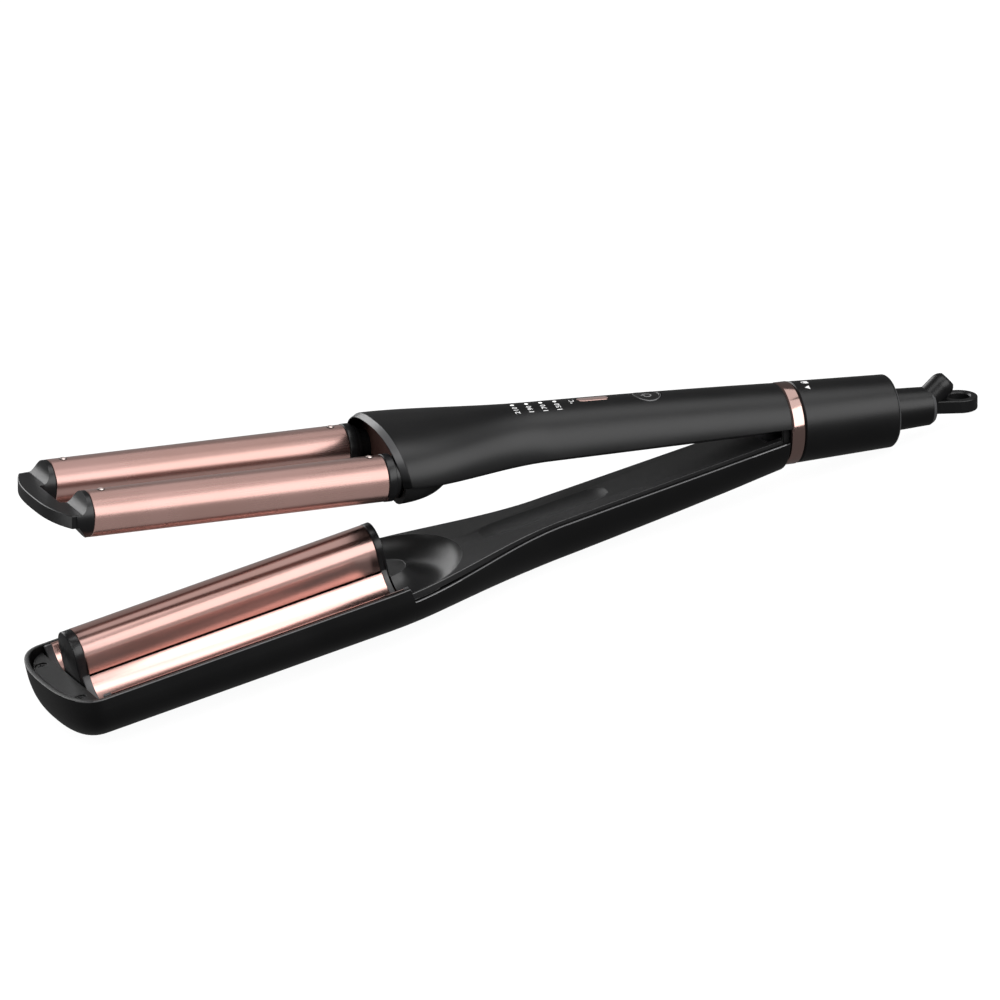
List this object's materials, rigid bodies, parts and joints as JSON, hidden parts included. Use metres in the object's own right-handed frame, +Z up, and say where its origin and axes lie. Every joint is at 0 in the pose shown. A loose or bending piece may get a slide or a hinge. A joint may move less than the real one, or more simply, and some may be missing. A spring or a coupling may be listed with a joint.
{
  "type": "hair waver",
  "caption": "Hinged hair waver: two heated barrels over a centre barrel between two troughs, with handle controls, lock ring and cord swivel.",
  "frame": {"origin": "bottom centre of the open waver's box, on the surface it lies on", "axes": "+X from the barrel tips to the handle, +Y across the handle, +Z up"},
  "size_m": [0.39, 0.0714, 0.0983],
  "materials": {
    "black_satin": "satin",
    "black_matt": "matt",
    "black_heatproof": "satin",
    "grey_heatproof": "matt",
    "brown_insulator": "matt",
    "rose_metal": "polished anodised",
    "rose_trim": "polished",
    "black_gloss": "gloss",
    "white_light": "clear-white",
    "heater_ceramic": "matt",
    "mica": "matt",
    "aluminium_block": "extruded",
    "board_green": "matt",
    "switch_black": "matt",
    "frame_nylon": "matt",
    "steel": "plain",
    "screw_black": "blackened",
    "contact_brass": "plain",
    "sensor_bead": "clear amber",
    "wire_red": "matt"
  },
  "bodies": {
    "handle": {"upper_shell": "black_satin", "upper_inner_cover": "black_matt", "mouth_block": "brown_insulator", "barrel_near": "rose_metal", "barrel_far": "rose_metal", "barrel_collars": "black_heatproof", "barrel_rivets": "rose_trim", "heater_clamps": "aluminium_block", "barrel_heaters": "heater_ceramic", "tip_bridge": "black_heatproof", "control_board": "board_green", "tact_switches": "switch_black", "status_leds": "white_light", "led_light_pipes": "white_light", "thermal_fuse": "steel", "barrel_thermistors": "sensor_bead", "upper_harness": "wire_red", "hinge_frame": "frame_nylon", "hinge_pin": "steel", "pin_clips": "steel", "frame_screws": "steel", "trim_ring": "rose_trim", "brush_carrier": "switch_black", "brush_contacts": "contact_brass", "hinge_spring": "steel"},
    "lock_ring": {"lock_sleeve": "black_satin"},
    "swivel": {"swivel_gland": "black_satin", "slip_rings": "contact_brass", "swivel_clip": "steel"},
    "power_button": {"power_button": "black_gloss"},
    "temperature_key": {"temperature_key": "rose_trim"},
    "lower_arm": {"lower_shell": "black_satin", "lower_inner_cover": "black_matt", "hinge_knuckle": "frame_nylon", "knuckle_screws": "steel", "tip_tray": "black_matt", "tip_screws": "screw_black", "trough_plate": "rose_metal", "trough_tip_trims": "grey_heatproof", "trough_rear_trims": "grey_heatproof", "centre_barrel": "rose_metal", "centre_tip_cap": "black_heatproof", "centre_rear_ring": "black_heatproof", "centre_heater": "heater_ceramic", "centre_clamp": "aluminium_block", "trough_heaters": "heater_ceramic", "heat_shield": "mica", "trough_thermistor": "sensor_bead", "lower_harness": "wire_red"}
  },
  "joints": [
    {"name": "arm_hinge", "type": "hinge", "parent": "handle", "child": "lower_arm", "pos_m": [0.11906, 0, 0.02213], "axis": [0, 1, 0], "range_deg": [0, 12.9], "stiffness_Nm_per_rad": 0.8, "springref_deg": -45.84, "deforming": ["hinge_spring"]},
    {"name": "lock_twist", "type": "hinge", "parent": "handle", "child": "lock_ring", "pos_m": [0.1344, 0, 0.01879], "axis": [0.9771, 0, -0.2129], "range_deg": [0, 35]},
    {"name": "cord_swivel", "type": "hinge", "parent": "handle", "child": "swivel", "pos_m": [0.16372, 0, 0.0124], "axis": [0.9771, 0, -0.2129], "continuous": true},
    {"name": "power_press", "type": "slide", "parent": "handle", "child": "power_button", "axis": [-0.2129, 0, -0.9771], "range_m": [0, 0.0006], "stiffness_N_per_m": 2000, "springref_m": -0.0006},
    {"name": "temperature_press", "type": "slide", "parent": "handle", "child": "temperature_key", "axis": [-0.2129, 0, -0.9771], "range_m": [0, 0.0006], "stiffness_N_per_m": 2000, "springref_m": -0.0006}
  ]
}
